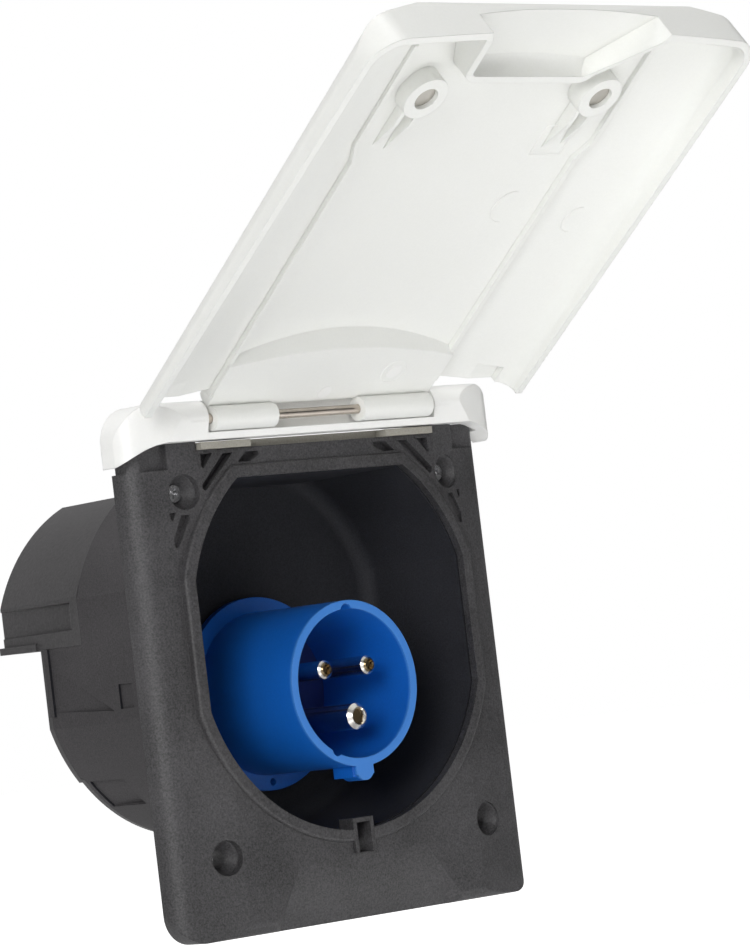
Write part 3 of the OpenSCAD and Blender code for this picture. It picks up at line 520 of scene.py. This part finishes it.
def mark_tree():
    """Geometry Nodes: discs, rings and outlines dropped on to a surface, one for each point of the input."""
    tree, gin, gout = geometry_tree("lid_marks", (
        ("Surface", "Object", None), ("Towards", "Vector", (0, 0, -1)), ("Disc Radius", "Float", 0.0028),
        ("Height", "Float", 0.0001), ("Ring Radius", "Float", 0.005), ("Line", "Float", 0.0002),
        ("Plate Width", "Float", 0.011), ("Plate Length", "Float", 0.010), ("Material", "Material", None)))
    surface = wire(tree, "GeometryNodeObjectInfo", None, {"Object": gin.outputs["Surface"]},
                   transform_space="ORIGINAL")
    drop = wire(tree, "GeometryNodeRaycast", {"Ray Length": 0.03},
                {"Target Geometry": surface.outputs["Geometry"], "Ray Direction": gin.outputs["Towards"]})
    landed = wire(tree, "GeometryNodeSetPosition", None,
                  {"Geometry": gin.outputs["Geometry"], "Selection": drop.outputs["Is Hit"],
                   "Position": drop.outputs["Hit Position"]})
    back = wire(tree, "ShaderNodeVectorMath", {3: -1.0}, {0: gin.outputs["Towards"]}, operation="SCALE")
    upright = wire(tree, "FunctionNodeAlignRotationToVector", None, {"Vector": back.outputs[0]}, axis="Z")
    kind = wire(tree, "GeometryNodeInputNamedAttribute", {"Name": "kind"}, data_type="FLOAT")
    size = wire(tree, "GeometryNodeInputNamedAttribute", {"Name": "size"}, data_type="FLOAT")
    flat = wire(tree, "ShaderNodeCombineXYZ", {"Z": 1.0}, {"X": size.outputs[0], "Y": size.outputs[0]})
    thick = wire(tree, "ShaderNodeMath", {1: 2.0}, {0: gin.outputs["Height"]}, operation="MULTIPLY")
    disc = wire(tree, "GeometryNodeMeshCylinder", {"Vertices": 64},
                {"Radius": gin.outputs["Disc Radius"], "Depth": thick.outputs[0]})
    section = wire(tree, "GeometryNodeCurvePrimitiveCircle", {"Resolution": 8}, {"Radius": gin.outputs["Line"]})
    circle = wire(tree, "GeometryNodeCurvePrimitiveCircle", {"Resolution": 72},
                  {"Radius": gin.outputs["Ring Radius"]})
    ring = wire(tree, "GeometryNodeCurveToMesh", None,
                {"Curve": circle.outputs["Curve"], "Profile Curve": section.outputs["Curve"]})
    frame_line = wire(tree, "GeometryNodeCurvePrimitiveQuadrilateral", None,
                      {"Width": gin.outputs["Plate Width"], "Height": gin.outputs["Plate Length"]})
    outline = wire(tree, "GeometryNodeCurveToMesh", None,
                   {"Curve": frame_line.outputs["Curve"], "Profile Curve": section.outputs["Curve"]})
    joined = tree.nodes.new("GeometryNodeJoinGeometry")
    for number, shape in enumerate((disc, ring, outline)):
        pick = wire(tree, "FunctionNodeCompare", {"B": float(number), "Epsilon": 0.1},
                    {"A": kind.outputs[0]}, data_type="FLOAT", operation="EQUAL")
        placed = wire(tree, "GeometryNodeInstanceOnPoints", None,
                      {"Points": landed.outputs["Geometry"], "Selection": pick.outputs["Result"],
                       "Instance": shape.outputs["Mesh"], "Rotation": upright.outputs["Rotation"],
                       "Scale": flat.outputs[0]})
        tree.links.new(placed.outputs["Instances"], joined.inputs["Geometry"])
    real = wire(tree, "GeometryNodeRealizeInstances", None, {"Geometry": joined.outputs["Geometry"]})
    done = wire(tree, "GeometryNodeSetMaterial", None,
                {"Geometry": real.outputs["Geometry"], "Material": gin.outputs["Material"]})
    tree.links.new(done.outputs["Geometry"], gout.inputs["Geometry"])
    return tree


def grown(points, kinds, sizes, tree, values, name):
    """Runs a Geometry Nodes tree on a few points and keeps its result as a plain mesh object."""
    seed = bpy.data.meshes.new(name + "_points")
    seed.from_pydata(points, [], [])
    for label, numbers in (("kind", kinds), ("size", sizes)):
        layer = seed.attributes.new(label, "FLOAT", "POINT")
        layer.data.foreach_set("value", numbers)
    start = bpy.data.objects.new(name + "_points", seed)
    bpy.context.scene.collection.objects.link(start)
    return evaluated_mesh(start, tree, values, name)


class INLET_OT_lid(bpy.types.Operator):
    """White finish of the lid and the plated discs in its bosses"""

    bl_idname = "inlet.lid"
    bl_label = "Finish lid"

    def execute(self, context):
        look = context.scene.inlet_lid
        dress("lid", moulded_material("lid_white", look.lid_colour, 0.0007, 0.000012, 0.38, speckle=0.012, coat=0.1,
                                      flow=0.02, subsurface=0.05))
        disc = metal_material("magnet_plate", (0.52, 0.5, 0.46), 0.42)
        for node in ("magnet_left", "magnet_right"):
            dress(node, disc)
        return {"FINISHED"}


class INLET_OT_lid_marks(bpy.types.Operator):
    """Ejector marks, their faint rings and the insert's outline on the lid's underside"""

    bl_idname = "inlet.lid_marks"
    bl_label = "Add lid marks"

    def execute(self, context):
        look = context.scene.inlet_lid
        points = [lid_point(x, away, MARK_CLEARANCE) for x, away, kind, size in LID_MARKS]
        kinds = [kind for x, away, kind, size in LID_MARKS]
        sizes = [size for x, away, kind, size in LID_MARKS]
        piece = grown(points, kinds, sizes, mark_tree(),
                      {"Surface": NODES["lid"], "Towards": tuple(lid_point(0, 0, -1) - HINGE),
                       "Disc Radius": look.mark_radius, "Height": look.mark_height,
                       "Line": look.mark_height * LINE_SHARE, "Material": bpy.data.materials["lid_white"]},
                      "lid_marks")
        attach(piece, "lid_body")
        return {"FINISHED"}


def paint_mouth_light(material, mouth, colour):
    """Paints light on the thin mouth of the shroud: a paler colour that fades into the wall and stands for the light
    on the rim and through the thin plastic.
    """
    tree = material.node_tree
    place = wire(tree, "ShaderNodeSeparateXYZ", None, {0: object_coords(tree)})
    lip = wire(tree, "ShaderNodeMapRange", {"From Min": mouth + 0.0004, "From Max": mouth + 0.0011, "To Min": 1.0,
                                            "To Max": 0.0}, {"Value": place.outputs["Y"]})
    blend_in(tree, lip.outputs[0], colour, tree.nodes["Principled BSDF"].inputs["Base Color"])


class INLET_OT_shroud(bpy.types.Operator):
    """Blue finish of the shroud, carrier, nut and the black gasket, with painted light at the shroud's mouth"""

    bl_idname = "inlet.shroud"
    bl_label = "Finish inlet"

    def execute(self, context):
        look = context.scene.inlet_core
        blue = moulded_material("shroud_blue", look.shroud_colour, 0.0006, 0.00002, 0.4, speckle=0.05, coat=0.1,
                                flow=0.08, subsurface=0.08)
        # Painted light: the shroud's mouth is paler where light falls on its thin rim.
        paint_mouth_light(blue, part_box("inlet_shroud")[0][1], look.mouth_light_colour)
        dress("inlet_shroud", blue)
        carrier = moulded_material("carrier_blue", look.carrier_colour, 0.0005, 0.00003, 0.5, speckle=0.1,
                                   soft_edges=False)
        for node in ("contact_carrier", "lock_nut"):
            dress(node, carrier)
        dress("inlet_gasket", moulded_material("gasket_black", (0.02, 0.02, 0.02), 0.0004, 0.00004, 0.7,
                                               soft_edges=False))
        return {"FINISHED"}


def paint_tip_reflection(material, axis, tip, radius, colour):
    """Paints a dark brown reflection into the dimple at a contact's tip."""
    tree = material.node_tree
    across = wire(tree, "ShaderNodeVectorMath", {1: (axis.x, 0, axis.z)}, {0: object_coords(tree)},
                  operation="SUBTRACT")
    level = wire(tree, "ShaderNodeVectorMath", {1: (1, 0, 1)}, {0: across.outputs[0]}, operation="MULTIPLY")
    off = wire(tree, "ShaderNodeVectorMath", None, {0: level.outputs[0]}, operation="LENGTH")
    inside = wire(tree, "ShaderNodeMapRange", {"From Min": radius, "From Max": radius + 0.0003, "To Min": 1.0,
                                               "To Max": 0.0}, {"Value": off.outputs["Value"]})
    place = wire(tree, "ShaderNodeSeparateXYZ", None, {0: object_coords(tree)})
    front = wire(tree, "ShaderNodeMath", {1: tip + 0.002}, {0: place.outputs["Y"]}, operation="LESS_THAN")
    both = wire(tree, "ShaderNodeMath", None, {0: inside.outputs[0], 1: front.outputs[0]}, operation="MULTIPLY")
    blend_in(tree, both.outputs[0], colour, tree.nodes["Principled BSDF"].inputs["Base Color"])


class INLET_OT_contacts(bpy.types.Operator):
    """Bright plating with lathe rings on the contacts, and a painted dark reflection in their tip dimples"""

    bl_idname = "inlet.contacts"
    bl_label = "Finish contacts"

    def execute(self, context):
        look = context.scene.inlet_core
        for node in ("pin_line", "pin_neutral", "pin_earth"):
            low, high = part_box(node)
            plated = metal_material("contact_" + node[4:], look.plate_colour, 0.2)
            # Painted reflection: a dark brown in the dimple at each contact's tip.
            paint_tip_reflection(plated, (low + high) / 2, low.y, (high.x - low.x) * 0.2, look.tip_reflection_colour)
            dress(node, plated)
        return {"FINISHED"}


class INLET_OT_fasteners(bpy.types.Operator):
    """Steel finishes of the screws, the hinge pin and the discs behind the frame"""

    bl_idname = "inlet.fasteners"
    bl_label = "Finish fasteners"

    def execute(self, context):
        bright = metal_material("bright_screw", (0.66, 0.66, 0.67), 0.26, rings=6000.0)
        dull = metal_material("dull_screw", (0.5, 0.5, 0.51), 0.4, rings=5000.0)
        drawn = metal_material("drawn_pin", (0.56, 0.5, 0.44), 0.3, rings=4000.0)
        for node in ("hood_screw_left", "hood_screw_right"):
            dress(node, bright)
        for node in ("tub_screws", "cap_screws", "plate_screws", "keeper_left", "keeper_right",
                     "terminal_screw_line", "terminal_screw_neutral", "terminal_screw_earth"):
            dress(node, dull)
        dress("hinge_pin", drawn)
        return {"FINISHED"}


def look_rotation(azimuth, elevation, roll):
    """Rotation of a camera on a bearing, turned about its line of sight, and the direction back towards it."""
    a, e, r = math.radians(azimuth), math.radians(elevation), math.radians(roll)
    back = Vector((math.sin(a) * math.cos(e), -math.cos(a) * math.cos(e), math.sin(e)))
    right = (-back).cross(Vector((0, 0, 1))).normalized()
    up = right.cross(-back)
    across = math.cos(r) * right + math.sin(r) * up
    rise = -math.sin(r) * right + math.cos(r) * up
    return Matrix((across, rise, back)).transposed(), back


def area_lamp(name, place, aim, size, power):
    lamp = bpy.data.lights.new(name, "AREA")
    lamp.shape = "DISK"
    lamp.size = size
    lamp.energy = power
    body = bpy.data.objects.new(name, lamp)
    body.location = place
    body.rotation_euler = (Vector(aim) - Vector(place)).to_track_quat("-Z", "Y").to_euler()
    body.visible_camera = False
    bpy.context.scene.collection.objects.link(body)


class INLET_OT_stage(bpy.types.Operator):
    """Pale floor, soft studio light and the camera"""

    bl_idname = "inlet.stage"
    bl_label = "Build stage"

    def execute(self, context):
        stage = context.scene.inlet_stage
        scene = context.scene
        # Floor
        mesh = bpy.data.meshes.new("floor")
        mesh.from_pydata([(x * FLOOR_REACH, y * FLOOR_REACH, stage.floor_z)
                          for x, y in ((-1, -1), (1, -1), (1, 1), (-1, 1))], [], [(0, 1, 2, 3)])
        floor = bpy.data.objects.new("floor", mesh)
        scene.collection.objects.link(floor)
        material, tree, bsdf = new_material("floor_pale")
        co = object_coords(tree)
        grain = wire(tree, "ShaderNodeTexNoise", {"Scale": 3.0, "Detail": 4.0}, {"Vector": co})
        tone = wire(tree, "ShaderNodeMapRange", {"To Min": 0.86, "To Max": 0.9}, {"Value": grain.outputs["Fac"]})
        tree.links.new(tone.outputs[0], bsdf.inputs["Base Color"])
        bsdf.inputs["Roughness"].default_value = 0.9
        path = tree.nodes.new("ShaderNodeLightPath")
        bsdf.inputs["Emission Color"].default_value = (1, 1, 1, 1)
        glow = wire(tree, "ShaderNodeMath", {1: FLOOR_GLOW}, {0: path.outputs["Is Camera Ray"]},
                    operation="MULTIPLY")
        tree.links.new(glow.outputs[0], bsdf.inputs["Emission Strength"])
        mesh.materials.append(material)
        # World: plain white to the eye, and a room that is darker in front of the object
        world = bpy.data.worlds.new("studio")
        scene.world = world
        world.use_nodes = True
        room = world.node_tree
        background = room.nodes["Background"]
        background.inputs["Color"].default_value = (1, 1, 1, 1)
        rays = room.nodes.new("ShaderNodeLightPath")
        seen = wire(room, "ShaderNodeMath", None, {0: rays.outputs["Is Camera Ray"],
                                                   1: rays.outputs["Is Transmission Ray"]}, operation="MAXIMUM")
        way = room.nodes.new("ShaderNodeTexCoord")
        side = wire(room, "ShaderNodeVectorMath", {1: BRIGHT_SIDE}, {0: way.outputs["Generated"]},
                    operation="DOT_PRODUCT")
        share = wire(room, "ShaderNodeMapRange",
                     {"From Min": -SIDE_SPREAD, "From Max": SIDE_SPREAD, "To Min": stage.front_dim, "To Max": 1.0},
                     {"Value": side.outputs["Value"]})
        level = wire(room, "ShaderNodeMath", {1: stage.daylight}, {0: share.outputs[0]}, operation="MULTIPLY")
        strength = room.nodes.new("ShaderNodeMix")
        strength.data_type = "FLOAT"
        strength.inputs["B"].default_value = 1.0
        room.links.new(level.outputs[0], strength.inputs["A"])
        room.links.new(seen.outputs[0], strength.inputs["Factor"])
        room.links.new(strength.outputs["Result"], background.inputs["Strength"])
        # Lamps: one high over the floor, a broad key far round to the left, and a low panel under the lid
        area_lamp("overhead", (0.1, -0.1, 2.3), (0.05, -0.15, -0.1), 1.0, 30.0)
        area_lamp("key", (-1.75, -1.2, 0.5), (0, 0, 0), 0.9, 21.0)
        area_lamp("under", (0.03, -0.18, stage.floor_z + 0.01), (0.03, -0.12, 0.1), 0.4, 0.5)
        # Camera
        camera = bpy.data.cameras.new("camera")
        camera.lens = stage.lens
        camera.sensor_width = SENSOR_WIDTH
        camera.shift_x, camera.shift_y = CAMERA_SHIFT
        camera.clip_start = 0.01
        eye = bpy.data.objects.new("camera", camera)
        turn, back = look_rotation(CAMERA_AZIMUTH, CAMERA_ELEVATION, CAMERA_ROLL)
        eye.matrix_world = Matrix.Translation(CAMERA_TARGET + back * CAMERA_DISTANCE) @ turn.to_4x4()
        scene.collection.objects.link(eye)
        scene.camera = eye
        scene.view_settings.view_transform = "Standard"
        return {"FINISHED"}


class INLET_PT_panel(bpy.types.Panel):
    """Lists the inlet's finishes and its stage"""

    bl_idname = "INLET_PT_panel"
    bl_label = "Panel inlet"
    bl_space_type = "VIEW_3D"
    bl_region_type = "UI"
    bl_category = "Inlet"

    def draw(self, context):
        column = self.layout.column()
        for step in STEPS:
            column.operator(step.bl_idname)
        for group in ("inlet_housing", "inlet_lid", "inlet_core", "inlet_stage"):
            settings = getattr(context.scene, group)
            for name in settings.__annotations__:
                column.prop(settings, name)


STEPS = (INLET_OT_front_frame, INLET_OT_slot_webs, INLET_OT_tub, INLET_OT_rear, INLET_OT_hood, INLET_OT_lid,
         INLET_OT_lid_marks, INLET_OT_shroud, INLET_OT_contacts, INLET_OT_fasteners, INLET_OT_stage)
GROUPS = (("inlet_housing", InletHousingSettings), ("inlet_lid", InletLidSettings),
          ("inlet_core", InletCoreSettings), ("inlet_stage", InletStageSettings))


def register():
    for name, group in GROUPS:
        bpy.utils.register_class(group)
        setattr(bpy.types.Scene, name, bpy.props.PointerProperty(type=group))
    for step in STEPS:
        bpy.utils.register_class(step)
    bpy.utils.register_class(INLET_PT_panel)


def unregister():
    bpy.utils.unregister_class(INLET_PT_panel)
    for step in reversed(STEPS):
        bpy.utils.unregister_class(step)
    for name, group in GROUPS:
        delattr(bpy.types.Scene, name)
        bpy.utils.unregister_class(group)


def main():
    register()
    for step in STEPS:
        area, name = step.bl_idname.split(".")
        getattr(getattr(bpy.ops, area), name)()


if __name__ == "__main__":
    main()
